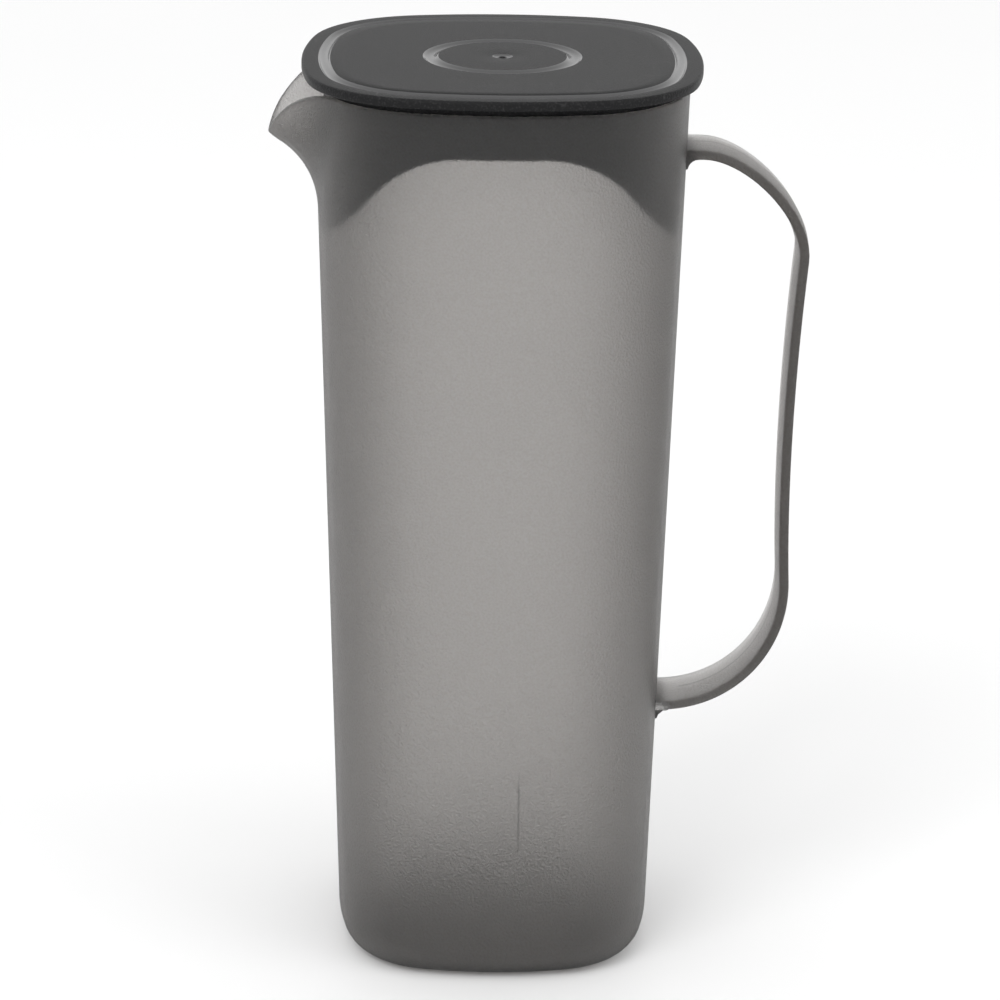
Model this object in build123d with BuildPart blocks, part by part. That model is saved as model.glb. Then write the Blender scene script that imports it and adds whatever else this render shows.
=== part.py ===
from build123d import *
import math
import os

# Rounded-square fridge jug with a beak spout, a strap handle and a lift-off lid.
# Millimetres. The origin is the middle of the face the jug stands on, +Z is up,
# the spout points along -X and the handle stands out along +X.

# Jug, measured on its outside
rim_z = 258.0
base_half = 45.55
base_side_r = 109.0
base_corner_r = 27.0
rim_half = 52.45
base_round = 8.5
wall = 2.1
floor_thick = 2.6
floor_bevel = 4.5

# Foot under the jug
foot_wide = 12.0
foot_recess_deep = 1.0
gate_r = 1.6
gate_tall = 0.5

# Spout, as the side view shows it: a hollow curve out of the wall, then a curl back up
spout_deep = 38.0
throat_r = 22.7
curl_r = 14.4
throat_turn = math.radians(59)
spout_half_low = 16.0
spout_half_top = 34.0
spout_levels = 12
spout_curve_steps = 7
rim_dip_r = 23.0
rim_dip_start_x = -43.3

# Handle strap: the middle line of its thickness. The upper points hang from the rim and the
# lower ones stand on the base, so the handle follows the jug when its height changes.
strap_half = 9.8
strap_edge = 2.7
strap_middle = 3.6
upper_root_drop = 20.5
shoulder_out = 4.6
shoulder_pull = 12.2
grip_top_out = 33.6
grip_top_drop = 51.3
grip_top_lean = math.radians(-5)
grip_top_pull_up = 13.6
grip_top_pull_down = 25.4
heel_out = 35.8
heel_z = 110.9
heel_lean = math.radians(3)
heel_pull_up = 33.2
heel_pull_down = 20.6
lower_root_out = 0.4
lower_root_z = 72.1
lower_root_pull = 21.7
root_bury = 6.0
root_fillet_r = 3.2
tab_long = 3.8
tab_half = 1.35
tab_tall = 0.4

# Lid plate and the moulded grooves in its top
lid_half = 55.9
lid_side_r = 130.0
lid_corner_r = 36.0
plate_thick = 2.6
plate_top_bevel = 0.8
plate_low_bevel = 0.4
edge_groove_inset = 6.3
edge_groove_wide = 3.3
edge_groove_floor = 1.5
ring_groove_mid_r = 20.05
ring_groove_wide = 4.3
ring_groove_floor = 2.1
groove_deep = 1.0
dimple_r = 2.75
dimple_deep = 0.5
pip_r = 0.7
pip_tall = 0.35

# Lid neck, which sits on the rim, and the skirt that hangs down inside the jug
neck_tall = 2.4
neck_set_in = 1.2
skirt_deep = 42.0
skirt_gap = 0.4
skirt_thick = 1.6
arch_drop = 12.5
arch_flat_half = 25.6
arch_corner_r = 30.0
arch_slope = math.radians(52)

spout_low_z = rim_z - spout_deep
upper_root_z = rim_z - upper_root_drop
grip_top_z = rim_z - grip_top_drop
plate_low_z = rim_z + neck_tall
lid_top_z = plate_low_z + plate_thick
skirt_low_z = rim_z - skirt_deep
past = 5.0


draft = math.degrees(math.atan((rim_half - base_half) / rim_z))


def jug_plan(z, inset):
    # Half-width, side radius and corner radius of the jug at height z, set in by inset
    grown = (rim_half - base_half) * z / rim_z - inset
    return (base_half + grown, base_side_r + grown, base_corner_r + grown)


def half_at(z):
    return jug_plan(z, 0)[0]


def reach_at(z, inset):
    # How far the spout stands out of the wall at height z, on a skin set in by inset
    hollow = throat_r + inset
    curl = curl_r - inset
    rise = z - spout_low_z
    full_rise = (hollow + curl) * math.sin(throat_turn)
    full_reach = (hollow + curl) * (1 - math.cos(throat_turn))
    if rise <= 0:
        return 0.0
    if rise < hollow * math.sin(throat_turn):
        return hollow - math.sqrt(hollow**2 - rise**2)
    if rise < full_rise:
        return full_reach - curl + math.sqrt(curl**2 - (full_rise - rise) ** 2)
    return full_reach


def spout_half_at(z, inset):
    # Half the spout's width across the jug at height z
    share = max(z - spout_low_z, 0) / (rim_z - spout_low_z)
    return spout_half_low + (spout_half_top - spout_half_low) * share - inset


def corner_middle(half, side_r, corner_r):
    # Each corner's centre is this far out along X and along Y, so that its arc runs on into the sides
    back = side_r - half
    gap = side_r - corner_r
    return (math.sqrt(2 * gap**2 - back**2) - back) / 2


def joint_angle(half, side_r, corner_r):
    # Angle off the +X axis at which a side's arc hands over to a corner's
    middle = corner_middle(half, side_r, corner_r)
    return math.atan2(middle, middle + side_r - half)


def turned(x, y, quarter):
    for _ in range(quarter):
        x, y = -y, x
    return x, y


def side_point(plan, angle, quarter=0):
    half, side_r, corner_r = plan
    return turned(half - side_r + side_r * math.cos(angle), side_r * math.sin(angle), quarter)


def corner_point(plan, angle, quarter=0):
    half, side_r, corner_r = plan
    middle = corner_middle(half, side_r, corner_r)
    return turned(middle + corner_r * math.cos(angle), middle + corner_r * math.sin(angle), quarter)


def draw_side(plan, quarter):
    a = joint_angle(*plan)
    ThreePointArc(*[side_point(plan, t, quarter) for t in (-a, 0, a)])


def draw_corner(plan, quarter):
    a = joint_angle(*plan)
    ThreePointArc(*[corner_point(plan, t, quarter) for t in (a, math.pi / 4, math.pi / 2 - a)])


def draw_square(plan):
    # A square with bulged sides and arc corners, closed and smooth all the way round
    for quarter in range(4):
        draw_side(plan, quarter)
        draw_corner(plan, quarter)


def draw_mouth(z, inset):
    # The same outline with the spout's bulge on its -X end
    plan = jug_plan(z, inset)
    reach = reach_at(z, inset)
    spread = spout_half_at(z, inset)
    if reach == 0:
        draw_square(plan)
        return
    for quarter in (3, 0, 1):
        draw_side(plan, quarter)
    for quarter in (3, 0):
        draw_corner(plan, quarter)

    def bulged(point, angle, quarter):
        x, y = point(plan, angle, quarter)
        if abs(y) < spread:
            x -= reach * math.cos(math.pi * y / (2 * spread)) ** 2
        return Vector(x, y)

    a = joint_angle(*plan)
    tiny = 1e-4
    for point, quarter, first, last in (
        (corner_point, 1, a, math.pi / 2 - a),
        (side_point, 2, -a, a),
        (corner_point, 2, a, math.pi / 2 - a),
    ):
        step = (last - first) / spout_curve_steps
        points = [bulged(point, first + step * i, quarter) for i in range(spout_curve_steps + 1)]
        ways = [
            (bulged(point, t + tiny, quarter) - bulged(point, t - tiny, quarter)).normalized()
            for t in (first, last)
        ]
        Spline(*[(p.X, p.Y) for p in points], tangents=[(w.X, w.Y) for w in ways])


# The jug as one solid lump: a plain tapered part, then the part that grows the spout
spout_rise = rim_z - spout_low_z
outer_levels = [spout_low_z + spout_rise * i / (spout_levels - 1) for i in range(spout_levels)]
inner_levels = outer_levels + [rim_z + past]

with BuildPart() as jug_lump:
    with BuildSketch():
        with BuildLine():
            draw_square(jug_plan(0, 0))
        make_face()
    extrude(amount=spout_low_z, taper=-draft)
    fillet(jug_lump.edges().group_by(Axis.Z)[0], base_round)
    for z in outer_levels:
        with BuildSketch(Plane.XY.offset(z)):
            with BuildLine():
                draw_mouth(z, 0)
            make_face()
    loft()

# The room inside the jug, as a lump in the same two lengths
with BuildPart() as jug_room:
    with BuildSketch(Plane.XY.offset(floor_thick)):
        with BuildLine():
            draw_square(jug_plan(floor_thick, wall))
        make_face()
    extrude(amount=spout_low_z - floor_thick, taper=-draft)
    chamfer(jug_room.edges().group_by(Axis.Z)[0], floor_bevel)
    for z in inner_levels:
        with BuildSketch(Plane.XY.offset(z)):
            with BuildLine():
                draw_mouth(z, wall)
            make_face()
    loft()

with BuildPart() as jug_body:
    add(jug_lump.part)
    add(jug_room.part, mode=Mode.SUBTRACT)
    # Sweep the rim down to the spout's tip
    with BuildSketch(Plane.XZ):
        with BuildLine():
            dip = CenterArc((rim_dip_start_x, rim_z - rim_dip_r), rim_dip_r, 90, 90)
            Polyline(
                dip @ 1,
                (dip @ 1) + Vector(-2 * past, 0),
                (rim_dip_start_x - rim_dip_r - 2 * past, rim_z + past),
                (rim_dip_start_x, rim_z + past),
                dip @ 0,
            )
        make_face()
    extrude(amount=rim_half, both=True, mode=Mode.SUBTRACT)
    # Shallow recess that leaves a foot to stand on, with the moulding gate in its middle
    with BuildSketch():
        with BuildLine():
            draw_square(jug_plan(0, foot_wide))
        make_face()
    extrude(amount=foot_recess_deep, mode=Mode.SUBTRACT)
    with BuildSketch(Plane.XY.offset(foot_recess_deep - gate_tall)):
        Circle(gate_r)
    extrude(amount=gate_tall)

# Strap handle: a flat bar with a shallow ridge along both faces, bent to the grip's outline
with BuildPart() as handle:
    with BuildLine(Plane.XZ) as strap_path:
        upper = Line(
            (half_at(upper_root_z) - root_bury, upper_root_z),
            (half_at(upper_root_z) + shoulder_out, upper_root_z),
        )
        grip_top = Vector(half_at(upper_root_z) + grip_top_out, 0, grip_top_z)
        grip_way = Vector(math.sin(grip_top_lean), 0, -math.cos(grip_top_lean))
        heel = Vector(half_at(lower_root_z) + heel_out, 0, heel_z)
        heel_way = Vector(math.sin(heel_lean), 0, -math.cos(heel_lean))
        lower = Line(
            (half_at(lower_root_z) + lower_root_out, lower_root_z),
            (half_at(lower_root_z) - root_bury, lower_root_z),
        )
        Bezier(
            upper @ 1,
            (upper @ 1) + Vector(shoulder_pull, 0, 0),
            grip_top - grip_way * grip_top_pull_up,
            grip_top,
        )
        Bezier(
            grip_top,
            grip_top + grip_way * grip_top_pull_down,
            heel - heel_way * heel_pull_up,
            heel,
        )
        Bezier(
            heel,
            heel + heel_way * heel_pull_down,
            (lower @ 0) + Vector(lower_root_pull, 0, 0),
            lower @ 0,
        )
    with BuildSketch(Plane(origin=upper @ 0, x_dir=(0, 1, 0), z_dir=(1, 0, 0))):
        with BuildLine():
            Polyline(
                (-strap_half, -strap_edge / 2),
                (0, -strap_middle / 2),
                (strap_half, -strap_edge / 2),
                (strap_half, strap_edge / 2),
                (0, strap_middle / 2),
                (-strap_half, strap_edge / 2),
                close=True,
            )
        make_face()
    sweep(path=strap_path.line)
    # Hollow-curved fillet under each root, as wide as the strap
    for root_z in (upper_root_z, lower_root_z):
        under = root_z - strap_edge / 2
        wall_x = half_at(under)
        with BuildSketch(Plane.XZ):
            with BuildLine():
                curve = CenterArc(
                    (wall_x + root_fillet_r, under - root_fillet_r), root_fillet_r, 90, 90
                )
                Polyline(
                    curve @ 1,
                    (wall_x - root_bury, under - root_fillet_r),
                    (wall_x - root_bury, root_z),
                    (wall_x + root_fillet_r, root_z),
                    curve @ 0,
                )
            make_face()
        extrude(amount=strap_half, both=True)
    # Small rounded tab on the near edge of the lower root
    with BuildSketch(Plane.XZ.offset(strap_half)):
        with Locations((half_at(lower_root_z) + tab_long - tab_half, lower_root_z)):
            Circle(tab_half)
        with Locations((half_at(lower_root_z) + tab_long - tab_half, lower_root_z)):
            Rectangle(root_bury, 2 * tab_half, align=(Align.MAX, Align.CENTER))
    extrude(amount=tab_tall)
    # The roots end on the jug's outside
    add(jug_lump.part, mode=Mode.SUBTRACT)

with BuildPart() as lid:
    with BuildSketch(Plane.XY.offset(plate_low_z)):
        with BuildLine():
            draw_square((lid_half, lid_side_r, lid_corner_r))
        make_face()
    extrude(amount=plate_thick)
    chamfer(lid.edges().group_by(Axis.Z)[-1], plate_top_bevel)
    chamfer(lid.edges().group_by(Axis.Z)[0], plate_low_bevel)
    # Groove round the plate's edge: a floor with sloped sides, between two raised parts
    flare = math.degrees(math.atan((edge_groove_wide - edge_groove_floor) / 2 / groove_deep))
    plan = [size - edge_groove_inset for size in (lid_half, lid_side_r, lid_corner_r)]
    with BuildSketch(Plane.XY.offset(lid_top_z - groove_deep)):
        with BuildLine():
            draw_square([size + edge_groove_floor / 2 for size in plan])
        make_face()
    extrude(amount=groove_deep, taper=-flare, mode=Mode.SUBTRACT)
    with BuildSketch(Plane.XY.offset(lid_top_z - groove_deep)):
        with BuildLine():
            draw_square([size - edge_groove_floor / 2 for size in plan])
        make_face()
    extrude(amount=groove_deep, taper=flare)
    # Ring groove of the same section in the middle
    with BuildSketch(Plane.XZ):
        with Locations((ring_groove_mid_r, lid_top_z)):
            Polygon(
                (-ring_groove_wide / 2, 0),
                (-ring_groove_floor / 2, -groove_deep),
                (ring_groove_floor / 2, -groove_deep),
                (ring_groove_wide / 2, 0),
                align=None,
            )
    revolve(axis=Axis.Z, mode=Mode.SUBTRACT)
    # Moulding gate: a dimple with a pip
    with BuildSketch(Plane.XY.offset(lid_top_z - dimple_deep)):
        Circle(dimple_r)
    extrude(amount=past, mode=Mode.SUBTRACT)
    with BuildSketch(Plane.XY.offset(lid_top_z - dimple_deep)):
        Circle(pip_r)
    extrude(amount=pip_tall)
    # Neck that sits on the jug's rim
    with BuildSketch(Plane.XY.offset(rim_z)):
        with BuildLine():
            draw_square(jug_plan(rim_z, neck_set_in))
        make_face()
    extrude(amount=neck_tall)
    # Skirt, which follows the jug's inner wall
    with BuildSketch(Plane.XY.offset(skirt_low_z)):
        with BuildLine():
            draw_square(jug_plan(skirt_low_z, wall + skirt_gap))
        make_face()
    extrude(amount=skirt_deep, taper=-draft)
    with BuildSketch(Plane.XY.offset(skirt_low_z)):
        with BuildLine():
            draw_square(jug_plan(skirt_low_z, wall + skirt_gap + skirt_thick))
        make_face()
    extrude(amount=plate_low_z - skirt_low_z, taper=-draft, mode=Mode.SUBTRACT)
    # Arch through the front and back of the skirt, which leaves a tongue on each end
    arch_top_z = rim_z - arch_drop
    arch_low_z = skirt_low_z - past
    arch_low_half = arch_flat_half + (arch_top_z - arch_low_z) / math.tan(arch_slope)
    with BuildSketch(Plane.XZ) as arch:
        with BuildLine():
            Polyline(
                (-arch_low_half, arch_low_z),
                (-arch_flat_half, arch_top_z),
                (arch_flat_half, arch_top_z),
                (arch_low_half, arch_low_z),
                close=True,
            )
        make_face()
        fillet(arch.vertices().group_by(Axis.Y)[-1], arch_corner_r)
    extrude(amount=lid_half, both=True, mode=Mode.SUBTRACT)

jug_body.part.label = "jug_body"
handle.part.label = "handle"
lid.part.label = "lid"

os.makedirs("parts", exist_ok=True)
export_step(jug_body.part, "parts/jug_body.step")
export_step(handle.part, "parts/handle.step")
export_step(lid.part, "parts/lid.step")
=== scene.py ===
import math
import bmesh
import bpy
from mathutils import Matrix, Vector


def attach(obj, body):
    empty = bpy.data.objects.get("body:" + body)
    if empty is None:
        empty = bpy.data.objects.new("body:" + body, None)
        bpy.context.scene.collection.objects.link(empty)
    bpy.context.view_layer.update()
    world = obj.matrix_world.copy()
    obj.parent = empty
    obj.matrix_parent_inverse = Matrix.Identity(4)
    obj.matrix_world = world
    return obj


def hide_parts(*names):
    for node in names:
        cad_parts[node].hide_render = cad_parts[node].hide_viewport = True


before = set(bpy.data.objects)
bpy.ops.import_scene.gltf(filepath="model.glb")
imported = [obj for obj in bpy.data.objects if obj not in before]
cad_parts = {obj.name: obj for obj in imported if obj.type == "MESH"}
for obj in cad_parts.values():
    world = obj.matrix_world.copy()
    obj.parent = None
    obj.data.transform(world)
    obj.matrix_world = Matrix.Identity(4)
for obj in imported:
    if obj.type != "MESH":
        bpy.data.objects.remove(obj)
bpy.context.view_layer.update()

# Sizes are in millimetres here, the same as the CAD model's, and become metres when a mesh is made.
RIM_Z, BASE_HALF, BASE_SIDE_R, BASE_CORNER_R, RIM_HALF = 258.0, 45.55, 109.0, 27.0, 52.45
WALL, FLOOR_Z, BASE_ROUND, FLOOR_ROUND = 2.1, 2.6, 8.5, 6.4
FOOT_IN, RECESS, GATE_R, GATE_TALL = 12.0, 1.0, 1.6, 0.5
SPOUT_LOW = RIM_Z - 38.0
THROAT_R, CURL_R, TURN = 22.7, 14.4, math.radians(59)
SPOUT_HALF_LOW, SPOUT_HALF_TOP = 16.0, 34.0
DIP_R, DIP_X = 23.0, -43.3
PLAIN_TOP = 214.0

STRAP_HALF, STRAP_EDGE, STRAP_MIDDLE, STRAP_SOFT = 9.8, 1.35, 1.8, 0.55
UPPER_ROOT_Z, LOWER_ROOT_Z, ROOT_IN, ROOT_FILLET = RIM_Z - 20.5, 72.1, 1.6, 3.2
TAB_LONG, TAB_HALF, TAB_TALL = 3.8, 1.35, 0.4

# A hair inside the CAD lid, whose curves are cut into facets
LID = (55.88, 130.0, 36.0)
NECK_Z = RIM_Z + 2.4
LID_TOP = NECK_Z + 2.6
SKIRT_LOW, ARCH_TOP = RIM_Z - 42.0, RIM_Z - 12.5
ARCH_FLAT, ARCH_CORNER_R, ARCH_SLOPE = 25.6, 30.0, math.radians(52)
SKIRT_IN, SKIRT_THICK, NECK_IN = WALL + 0.4, 1.6, 1.2
GROOVE_DEEP = 1.0

SIDE_STEPS, CORNER_STEPS, SPOUT_STEPS = 24, 14, 26
# How much light a metre of the plastic takes up, in the wall and in the clearer strap
WALL_DENSITY, STRAP_DENSITY = 280.0, 185.0
# Each upright row of vertices on a rounded square: is it on a corner, which quarter, how far along
COLUMNS = []
for quarter in range(4):
    COLUMNS += [(False, quarter, -1 + 2 * i / SIDE_STEPS) for i in range(SIDE_STEPS)]
    COLUMNS += [(True, quarter, i / CORNER_STEPS) for i in range(CORNER_STEPS)]


# Outlines


def plan_at(z, inset):
    grown = (RIM_HALF - BASE_HALF) * z / RIM_Z - inset
    return (BASE_HALF + grown, BASE_SIDE_R + grown, BASE_CORNER_R + grown)


def half_at(z):
    return plan_at(z, 0)[0]


def on_square(column, plan):
    corner, quarter, share = COLUMNS[column]
    half, side_r, corner_r = plan
    back, gap = side_r - half, side_r - corner_r
    middle = (math.sqrt(2 * gap**2 - back**2) - back) / 2
    joint = math.atan2(middle, middle + back)
    if corner:
        t = joint + (math.pi / 2 - 2 * joint) * share
        x, y = middle + corner_r * math.cos(t), middle + corner_r * math.sin(t)
    else:
        t = joint * share
        x, y = half - side_r + side_r * math.cos(t), side_r * math.sin(t)
    for _ in range(quarter):
        x, y = -y, x
    return x, y


def square(plan, z, share=1.0):
    def place(column):
        x, y = on_square(column, plan)
        return x * share, y * share, z

    return place


def circle(r, z):
    # A circle with its vertices on the same columns, so that it runs out into a rounded square
    def place(column):
        x, y = on_square(column, LID)
        away = math.hypot(x, y)
        return x / away * r, y / away * r, z

    return place


def reach_at(z, inset):
    hollow, curl, rise = THROAT_R + inset, CURL_R - inset, z - SPOUT_LOW
    full_rise = (hollow + curl) * math.sin(TURN)
    full_reach = (hollow + curl) * (1 - math.cos(TURN))
    if rise <= 0:
        return 0.0
    if rise < hollow * math.sin(TURN):
        return hollow - math.sqrt(hollow**2 - rise**2)
    if rise < full_rise:
        return full_reach - curl + math.sqrt(curl**2 - (full_rise - rise) ** 2)
    return full_reach


def on_jug(column, z, inset):
    x, y = on_square(column, plan_at(z, inset))
    share = max(z - SPOUT_LOW, 0) / (RIM_Z - SPOUT_LOW)
    spread = SPOUT_HALF_LOW + (SPOUT_HALF_TOP - SPOUT_HALF_LOW) * share - inset
    if x < 0 and abs(y) < spread:
        x -= reach_at(z, inset) * math.cos(math.pi * y / (2 * spread)) ** 2
    return x, y, z


def rim_over(x):
    # Height of the rim over a point this far along X, with its dip down to the spout's tip
    if x > DIP_X:
        return RIM_Z
    out = min(DIP_X - x, DIP_R)
    return RIM_Z - DIP_R + math.sqrt(DIP_R**2 - out**2)


def rim_height(column, inset):
    low, high = SPOUT_LOW, RIM_Z
    if rim_over(on_jug(column, high, inset)[0]) >= high:
        return high
    for _ in range(40):
        z = (low + high) / 2
        if rim_over(on_jug(column, z, inset)[0]) > z:
            low = z
        else:
            high = z
    return low


def quarter_turn(steps):
    return [math.pi / 2 * i / steps for i in range(steps + 1)]


# Meshes


class Skin:
    """A closed skin drawn out, loop by loop, from a circle whose vertices are numbered."""

    def __init__(self, count, place):
        self.bm = bmesh.new()
        self.number = self.bm.verts.layers.int.new("number")
        made = bmesh.ops.create_circle(self.bm, cap_ends=True, segments=count, radius=1.0)
        for i, vert in enumerate(made["verts"]):
            vert[self.number] = i
            vert.co = place(i)
        self.loop = self.bm.edges[:]

    def draw(self, place, look=0):
        made = bmesh.ops.extrude_edge_only(self.bm, edges=self.loop)["geom"]
        verts = {part for part in made if isinstance(part, bmesh.types.BMVert)}
        for vert in verts:
            vert.co = place(vert[self.number])
        for edge in self.loop:
            for face in edge.link_faces:
                if verts.intersection(face.verts):
                    face.material_index = look
        self.loop = [
            part for part in made if isinstance(part, bmesh.types.BMEdge) and verts.issuperset(part.verts)
        ]
        return self.loop

    def close(self):
        bmesh.ops.edgeloop_fill(self.bm, edges=self.loop)

    def soften(self, edges, offset, segments):
        bmesh.ops.bevel(
            self.bm, geom=edges, offset=offset, segments=segments, profile=0.5, affect="EDGES", material=-1
        )


def finish_piece(name, bm, looks, body, replaced):
    bmesh.ops.recalc_face_normals(bm, faces=bm.faces)
    bmesh.ops.scale(bm, vec=(0.001, 0.001, 0.001), verts=bm.verts)
    mesh = bpy.data.meshes.new(name)
    bm.to_mesh(mesh)
    bm.free()
    for face in mesh.polygons:
        face.use_smooth = True
    for look in looks:
        mesh.materials.append(look)
    piece = bpy.data.objects.new(name, mesh)
    bpy.context.scene.collection.objects.link(piece)
    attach(piece, body)
    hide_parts(replaced)


# Node trees


class Wire:
    """One output of a node tree, with sums that add Math nodes."""

    def __init__(self, tree, socket):
        self.tree, self.socket = tree, socket

    def node(self, kind, settings=None, output=0, **inputs):
        node = self.tree.nodes.new(kind)
        for key, value in (settings or {}).items():
            setattr(node, key, value)
        for key, value in inputs.items():
            numbered = key[0] == "i" and key[1:].isdigit()
            socket = node.inputs[int(key[1:]) if numbered else key.replace("_", " ")]
            if isinstance(value, Wire):
                self.tree.links.new(value.socket, socket)
            else:
                socket.default_value = value
        return Wire(self.tree, node.outputs[output])

    def sum(self, operation, a, b=0.0):
        return self.node("ShaderNodeMath", {"operation": operation}, i0=a, i1=b)

    def __add__(self, other):
        return self.sum("ADD", self, other)

    def __radd__(self, other):
        return self.sum("ADD", other, self)

    def __sub__(self, other):
        return self.sum("SUBTRACT", self, other)

    def __rsub__(self, other):
        return self.sum("SUBTRACT", other, self)

    def __mul__(self, other):
        return self.sum("MULTIPLY", self, other)

    def __rmul__(self, other):
        return self.sum("MULTIPLY", other, self)

    def __truediv__(self, other):
        return self.sum("DIVIDE", self, other)

    def __rtruediv__(self, other):
        return self.sum("DIVIDE", other, self)

    def size(self):
        return self.sum("ABSOLUTE", self)

    def held(self, low=0.0, high=1.0):
        return self.sum("MINIMUM", self.sum("MAXIMUM", self, low), high)

    def along(self, axis):
        return self.node("ShaderNodeSeparateXYZ", output=axis, Vector=self)

    def stretched(self, scale):
        return self.node("ShaderNodeVectorMath", {"operation": "MULTIPLY"}, i0=self, i1=scale)

    def far_from(self, point):
        return self.node("ShaderNodeVectorMath", {"operation": "DISTANCE"}, output="Value", i0=self, i1=point)

    def noise(self, size, detail=1.0):
        return self.node("ShaderNodeTexNoise", Vector=self, Scale=size, Detail=detail, Roughness=0.5)

    def blend(self, low, high):
        return self.node("ShaderNodeMix", {"data_type": "RGBA"}, output=2, i0=self, i6=low, i7=high)

    def bump(self, strength, distance):
        return self.node("ShaderNodeBump", Height=self, Strength=strength, Distance=distance)


def new_material(name):
    made = bpy.data.materials.new(name)
    made.use_nodes = True
    made.node_tree.nodes.clear()
    start = Wire(made.node_tree, None)
    return made, start, start.node("ShaderNodeTexCoord", output="Object")


def show(start, surface, inside=None):
    out = start.tree.nodes.new("ShaderNodeOutputMaterial")
    start.tree.links.new(surface.socket, out.inputs["Surface"])
    if inside:
        start.tree.links.new(inside.socket, out.inputs["Volume"])


def smoke_plastic(name, density):
    made, start, at = new_material(name)
    grain = at.noise(1500.0)
    cloud = at.noise(18.0, 2.0)
    # A faint upright flow line low on the front, and a small blemish beside it, in metres
    front = (at.along("Y") * -1000.0).held()
    height = at.along("Z")
    line = (1.0 - (at.along("X") - 0.0067).size() / 0.0004).held()
    line = line * ((height - 0.039) / 0.006).held() * ((0.067 - height) / 0.006).held() * front
    spot = (1.0 - at.far_from((0.0262, -0.0455, 0.0625)) / 0.0011).held()
    # Painted shade: a thin dark line along the strap's ridge, in the base colour, clear of the jug's own wall
    ridge_shade = (1.0 - at.along("Y").size() / 0.0009).held() * ((at.along("X") - 0.0535) / 0.001).held()
    # The flow line and the blemish are real marks; the dark line along the ridge is painted shade; all three
    # darken the base colour
    flaws_and_ridge_shade = (line * 0.8 + spot * 0.7 + ridge_shade * 0.9).held()
    rough = 0.42 + cloud * 0.1 + line * 0.12 + spot * 0.2
    speckle = ((grain - 0.5) * 2.5 + 0.5).held()
    sandy = speckle.blend((0.87, 0.86, 0.85, 1.0), (1.0, 1.0, 1.0, 1.0))
    surface = start.node(
        "ShaderNodeBsdfPrincipled",
        Base_Color=flaws_and_ridge_shade.blend(sandy, (0.45, 0.45, 0.45, 1.0)),
        Roughness=rough,
        IOR=1.45,
        Specular_IOR_Level=0.14,
        Transmission_Weight=1.0,
        Normal=(grain + line * 0.35).bump(0.8, 0.0003),
    )
    tint = start.node("ShaderNodeVolumeAbsorption", Color=(0.34, 0.315, 0.295, 1.0), Density=density)
    show(start, surface, tint)
    return made


def charcoal_textured():
    made, start, at = new_material("charcoal_textured")
    grain = at.noise(2000.0)
    # Fine scuffs that run two ways, in patches, on the plate's top alone
    patch = ((at.noise(38.0, 2.0) - 0.5) * 5.0).held()
    one_way = ((at.stretched((60.0, 1100.0, 60.0)).noise(1.0) - 0.66) * 12.0).held()
    other_way = ((at.stretched((900.0, 90.0, 60.0)).noise(1.0) - 0.68) * 12.0).held()
    on_top = ((at.along("Z") - 0.2615) / 0.0005).held()
    scuff = (one_way + other_way).held() * patch * on_top
    speckle = ((grain - 0.55) * 6.0).held()
    pale = (scuff * 0.4 + speckle * 0.1).held()
    surface = start.node(
        "ShaderNodeBsdfPrincipled",
        Base_Color=pale.blend((0.008, 0.008, 0.0085, 1.0), (0.16, 0.16, 0.16, 1.0)),
        Roughness=0.46 + scuff * 0.12,
        IOR=1.5,
        Specular_IOR_Level=0.13,
        Normal=grain.bump(0.6, 0.0003),
    )
    show(start, surface)
    return made


def charcoal_polished():
    made, start, at = new_material("charcoal_polished")
    surface = start.node(
        "ShaderNodeBsdfPrincipled",
        Base_Color=(0.014, 0.014, 0.015, 1.0),
        Roughness=0.13 + at.noise(160.0, 2.0) * 0.06,
        IOR=1.55,
        Specular_IOR_Level=1.0,
        Normal=at.noise(1100.0).bump(0.05, 0.0003),
    )
    show(start, surface)
    return made


# Jug


def build_jug(look):
    # From the gate in the middle of the foot's recess, over the foot and round the base
    skin = Skin(len(COLUMNS), circle(GATE_R - 0.4, RECESS - GATE_TALL))
    skin.draw(circle(GATE_R - 0.12, RECESS - GATE_TALL))
    skin.draw(circle(GATE_R, RECESS - GATE_TALL + 0.12))
    skin.draw(circle(GATE_R, RECESS - 0.1))
    skin.draw(circle(GATE_R + 0.15, RECESS))
    recess = plan_at(0, FOOT_IN)
    for share in (0.3, 0.6, 0.9):
        skin.draw(square(recess, RECESS, share))
    skin.draw(square(plan_at(0, FOOT_IN + 0.3), RECESS))
    skin.draw(square(recess, RECESS - 0.3))
    skin.draw(square(recess, 0.3))
    skin.draw(square(plan_at(0, FOOT_IN - 0.3), 0.0))
    for t in quarter_turn(10):
        z = BASE_ROUND * (1 - math.cos(t))
        skin.draw(square(plan_at(z, BASE_ROUND * (1 - math.sin(t))), z))

    def wall_levels(inset):
        tops = [rim_height(column, inset) for column in range(len(COLUMNS))]

        def plain(z):
            return lambda column: on_jug(column, z, inset)

        def spouted(share):
            return lambda column: on_jug(column, PLAIN_TOP + (tops[column] - PLAIN_TOP) * share, inset)

        levels = [plain(z) for z in (20, 45, 80, 120, 160, 195, 208, PLAIN_TOP)]
        return levels + [spouted(i / SPOUT_STEPS) for i in range(1, SPOUT_STEPS + 1)]

    # Up the outside to the rim, then down the inside to the floor
    for level in wall_levels(0):
        outer_rim = skin.draw(level)
    inner = wall_levels(WALL)[::-1]
    inner_rim = skin.draw(inner[0])
    for level in inner[1:]:
        skin.draw(level)
    for t in quarter_turn(8)[::-1]:
        z = FLOOR_Z + FLOOR_ROUND * (1 - math.cos(t))
        skin.draw(square(plan_at(z, WALL + FLOOR_ROUND * (1 - math.sin(t))), z))
    floor = plan_at(FLOOR_Z, WALL + FLOOR_ROUND)
    for share in (0.9, 0.6, 0.3, 0.06):
        skin.draw(square(floor, FLOOR_Z, share))
    skin.close()
    skin.soften(outer_rim + inner_rim, 0.55, 3)
    finish_piece("jug_shell", skin.bm, [look], "jug", "jug_body")


# Handle


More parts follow.
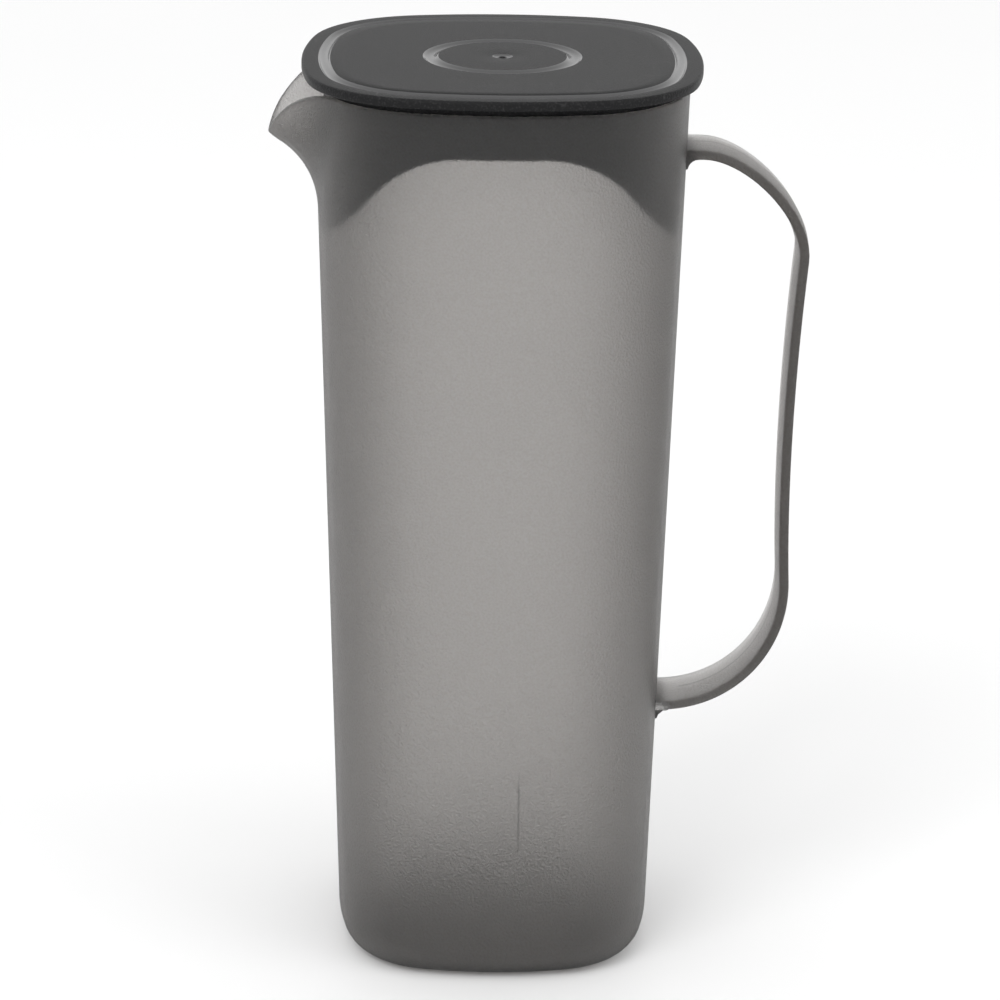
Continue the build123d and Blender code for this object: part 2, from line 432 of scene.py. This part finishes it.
def bend(a, b, c, d, steps):
    return [
        a * (1 - t) ** 3 + b * 3 * t * (1 - t) ** 2 + c * 3 * t * t * (1 - t) + d * t**3
        for t in (i / steps for i in range(steps))
    ]


def strap_line():
    # The middle line of the strap, from inside the wall at the upper root to inside it at the lower
    upper = Vector((half_at(UPPER_ROOT_Z) + 4.6, 0, UPPER_ROOT_Z))
    grip = Vector((half_at(UPPER_ROOT_Z) + 33.6, 0, RIM_Z - 51.3))
    heel = Vector((half_at(LOWER_ROOT_Z) + 35.8, 0, 110.9))
    lower = Vector((half_at(LOWER_ROOT_Z) + 0.4, 0, LOWER_ROOT_Z))
    grip_lean, heel_lean = math.radians(-5), math.radians(3)
    grip_way = Vector((math.sin(grip_lean), 0, -math.cos(grip_lean)))
    heel_way = Vector((math.sin(heel_lean), 0, -math.cos(heel_lean)))
    out = Vector((1, 0, 0))
    line = [upper - out * (4.6 - away) for away in (-ROOT_IN, 0.0, 0.3, 0.8, 1.4, 2.2, ROOT_FILLET, 3.9)]
    line += bend(upper, upper + out * 12.2, grip - grip_way * 13.6, grip, 22)
    line += bend(grip, grip + grip_way * 25.4, heel - heel_way * 33.2, heel, 22)
    line += bend(heel, heel + heel_way * 20.6, lower + out * 21.7, lower, 44)
    return line + [lower, lower - out * 0.4, lower - out * (0.4 + ROOT_IN)]


def strap_section():
    # A quarter of the section, from the edge to the ridge, and its three mirrors
    corner, rise = STRAP_SOFT * 0.29, STRAP_MIDDLE - STRAP_EDGE
    quarter = [
        (STRAP_HALF, STRAP_EDGE - STRAP_SOFT),
        (STRAP_HALF - corner, STRAP_EDGE - corner),
        (STRAP_HALF - STRAP_SOFT, STRAP_EDGE),
        (STRAP_HALF * 0.66, STRAP_EDGE + rise * 0.34),
        (STRAP_HALF * 0.33, STRAP_EDGE + rise * 0.67),
        (0.25, STRAP_MIDDLE - 0.02),
    ]
    half = quarter + [(-y, z) for y, z in quarter[::-1]]
    return half + [(y, -z) for y, z in half[::-1]]


def root_drop(x, z):
    # How far the hollow-curved fillet lowers the strap's underside this near to the wall
    root_z = UPPER_ROOT_Z if z > RIM_Z / 2 else LOWER_ROOT_Z
    away = max(x - half_at(root_z - STRAP_EDGE), 0.0)
    if away >= ROOT_FILLET or abs(z - root_z) > 3 * STRAP_EDGE:
        return 0.0
    return ROOT_FILLET - math.sqrt(ROOT_FILLET**2 - (ROOT_FILLET - away) ** 2)


def build_handle(look):
    line, section = strap_line(), strap_section()

    def station(i):
        way = (line[min(i + 1, len(line) - 1)] - line[max(i - 1, 0)]).normalized()
        out = Vector((-way.z, 0, way.x))

        def place(number):
            y, off = section[number]
            spot = line[i] + Vector((0, y, 0)) + out * off
            if spot.z < line[i].z:
                spot.z -= root_drop(spot.x, spot.z)
            return spot

        return place

    skin = Skin(len(section), station(0))
    for i in range(1, len(line)):
        skin.draw(station(i))
    skin.close()
    # Small rounded tab on the near edge of the lower root
    made = bmesh.ops.create_circle(skin.bm, cap_ends=True, segments=20, radius=TAB_HALF)
    verts = made["verts"]
    bmesh.ops.translate(skin.bm, vec=(TAB_HALF - TAB_LONG, 0, 0), verts=[v for v in verts if v.co.x < -0.01])
    turn = Matrix.Rotation(math.pi / 2, 3, "X")
    bmesh.ops.rotate(skin.bm, cent=(0, 0, 0), matrix=turn, verts=verts)
    spot = (half_at(LOWER_ROOT_Z) + TAB_LONG - TAB_HALF, 0.3 - STRAP_HALF, LOWER_ROOT_Z)
    bmesh.ops.translate(skin.bm, vec=spot, verts=verts)
    grown = bmesh.ops.extrude_face_region(skin.bm, geom=verts[0].link_faces[:])["geom"]
    top = [part for part in grown if isinstance(part, bmesh.types.BMVert)]
    bmesh.ops.translate(skin.bm, vec=(0, -0.3 - TAB_TALL, 0), verts=top)
    top_edges = [part for part in grown if isinstance(part, bmesh.types.BMEdge)]
    skin.soften(top_edges, 0.18, 2)
    finish_piece("handle_strap", skin.bm, [look], "jug", "handle")


# Lid


def groove(draw, at, half_wide):
    # Across one moulded groove with a polished, rounded floor, where at(offset, z) gives a level
    for i in range(9):
        t = i / 8 * 2 - 1
        depth = GROOVE_DEEP * (1 - t * t) ** 0.8 if abs(t) < 1 else 0.0
        draw(at(half_wide * t, LID_TOP - depth), 1 if i > 0 else 0)


def arch_at(x):
    # Height of the skirt's lower edge this far to either side of its middle
    x = abs(x)
    start = ARCH_FLAT - ARCH_CORNER_R * math.tan(ARCH_SLOPE / 2)
    if x < start:
        return ARCH_TOP
    if x < start + ARCH_CORNER_R * math.sin(ARCH_SLOPE):
        return ARCH_TOP - ARCH_CORNER_R + math.sqrt(ARCH_CORNER_R**2 - (x - start) ** 2)
    return max(ARCH_TOP - (x - ARCH_FLAT) * math.tan(ARCH_SLOPE), SKIRT_LOW)


def build_lid(textured, polished):
    def edge_level(inset, z):
        return square([size - inset for size in LID], z)

    def wall_level(inset, z):
        return square(plan_at(z, inset), z)

    # From the gate's pip in the middle of the top outwards
    skin = Skin(len(COLUMNS), circle(0.35, LID_TOP - 0.12))
    for r, drop, look in (
        (0.7, 0.2, 0),
        (0.85, 0.45, 0),
        (1.2, 0.5, 0),
        (2.2, 0.48, 1),
        (2.6, 0.3, 1),
        (2.85, 0.05, 1),
        (3.1, 0, 0),
        (10, 0, 0),
        (17.7, 0, 0),
    ):
        skin.draw(circle(r, LID_TOP - drop), look)
    groove(skin.draw, lambda off, z: circle(20.05 + off, z), 2.15)
    for r in (22.6, 32):
        skin.draw(circle(r, LID_TOP))
    for inset in (13.1, 12.6, 12.1, 11.6):
        skin.draw(edge_level(inset, LID_TOP))
    groove(skin.draw, lambda off, z: edge_level(6.3 - off, z), 1.65)
    skin.draw(edge_level(4.3, LID_TOP))
    # Over the plate's edge and in to the neck, which stands on the rim
    for t in quarter_turn(4):
        skin.draw(edge_level(0.9 * (1 - math.sin(t)), LID_TOP - 0.9 * (1 - math.cos(t))))
    for t in quarter_turn(3):
        skin.draw(edge_level(0.4 * (1 - math.cos(t)), NECK_Z + 0.4 * (1 - math.sin(t))))
    skin.draw(wall_level(NECK_IN - 0.2, NECK_Z))
    skin.draw(wall_level(NECK_IN, NECK_Z - 0.2))
    skin.draw(wall_level(NECK_IN, RIM_Z + 0.2))
    skin.draw(wall_level(NECK_IN + 0.2, RIM_Z))
    skin.draw(wall_level(SKIRT_IN, RIM_Z))
    # Skirt: each column ends at the arch or at the skirt's foot
    feet = []
    for column in range(len(COLUMNS)):
        z = SKIRT_LOW
        for _ in range(12):
            z = arch_at(on_square(column, plan_at(z, SKIRT_IN))[0])
        feet.append(z)

    def skirt_level(inset, share):
        def place(column):
            z = RIM_Z + (feet[column] - RIM_Z) * share
            return (*on_square(column, plan_at(z, inset)), z)

        return place

    for i in range(1, 9):
        outer_foot = skin.draw(skirt_level(SKIRT_IN, i / 8))
    inner_foot = skin.draw(skirt_level(SKIRT_IN + SKIRT_THICK, 1))
    for i in range(7, -1, -1):
        skin.draw(skirt_level(SKIRT_IN + SKIRT_THICK, i / 8))
    skin.draw(wall_level(SKIRT_IN + SKIRT_THICK, NECK_Z))
    plan = plan_at(NECK_Z, SKIRT_IN + SKIRT_THICK)
    for share in (0.9, 0.5, 0.05):
        skin.draw(square(plan, NECK_Z, share))
    skin.close()
    skin.soften(outer_foot + inner_foot, 0.3, 2)
    finish_piece("lid_moulding", skin.bm, [textured, polished], "lid", "lid")


build_jug(smoke_plastic("smoke_plastic", WALL_DENSITY))
build_handle(smoke_plastic("smoke_plastic_strap", STRAP_DENSITY))
build_lid(charcoal_textured(), charcoal_polished())


# Floor, light and camera


def lay_floor():
    bm = bmesh.new()
    bmesh.ops.create_grid(bm, x_segments=1, y_segments=1, size=6.0)
    mesh = bpy.data.meshes.new("floor")
    bm.to_mesh(mesh)
    bm.free()
    floor = bpy.data.objects.new("floor", mesh)
    bpy.context.scene.collection.objects.link(floor)
    made, start, at = new_material("pale_floor")
    tone = at.noise(3.0).blend((0.89, 0.89, 0.89, 1.0), (0.91, 0.91, 0.91, 1.0))
    show(start, start.node("ShaderNodeBsdfPrincipled", Base_Color=tone, Roughness=0.5))
    mesh.materials.append(made)


def light_studio():
    world = bpy.data.worlds.new("studio")
    bpy.context.scene.world = world
    world.use_nodes = True
    world.node_tree.nodes.clear()
    start = Wire(world.node_tree, None)
    sky = start.node("ShaderNodeBackground", Color=(1.0, 1.0, 1.0, 1.0), Strength=1.0)
    out = world.node_tree.nodes.new("ShaderNodeOutputWorld")
    world.node_tree.links.new(sky.socket, out.inputs["Surface"])
    for name, at, power in (("key", (-0.8, -1.2, 1.6), 12.0), ("fill", (1.3, -0.7, 1.0), 5.0)):
        light = bpy.data.lights.new(name, "AREA")
        light.size = 1.0
        light.energy = power
        lamp = bpy.data.objects.new(name, light)
        bpy.context.scene.collection.objects.link(lamp)
        lamp.location = at
        lamp.rotation_euler = (Vector((0, 0, 0.13)) - Vector(at)).to_track_quat("-Z", "Y").to_euler()


def set_camera():
    yaw, pitch, roll = 0.013, 0.336, 0.013
    ahead = Vector((math.sin(yaw) * math.cos(pitch), math.cos(yaw) * math.cos(pitch), -math.sin(pitch)))
    right = ahead.cross(Vector((0, 0, 1))).normalized()
    up = right.cross(ahead)
    tilted_right = right * math.cos(roll) + up * math.sin(roll)
    tilted_up = up * math.cos(roll) - right * math.sin(roll)
    lens = bpy.data.cameras.new("camera")
    lens.sensor_width = 36.0
    lens.lens = 138.27
    camera = bpy.data.objects.new("camera", lens)
    bpy.context.scene.collection.objects.link(camera)
    turn = Matrix((tilted_right, tilted_up, -ahead)).transposed().to_4x4()
    camera.matrix_world = Matrix.Translation((-0.012755, -1.05, 0.498791)) @ turn
    bpy.context.scene.camera = camera


lay_floor()
light_studio()
set_camera()
bpy.context.scene.view_settings.view_transform = "Standard"
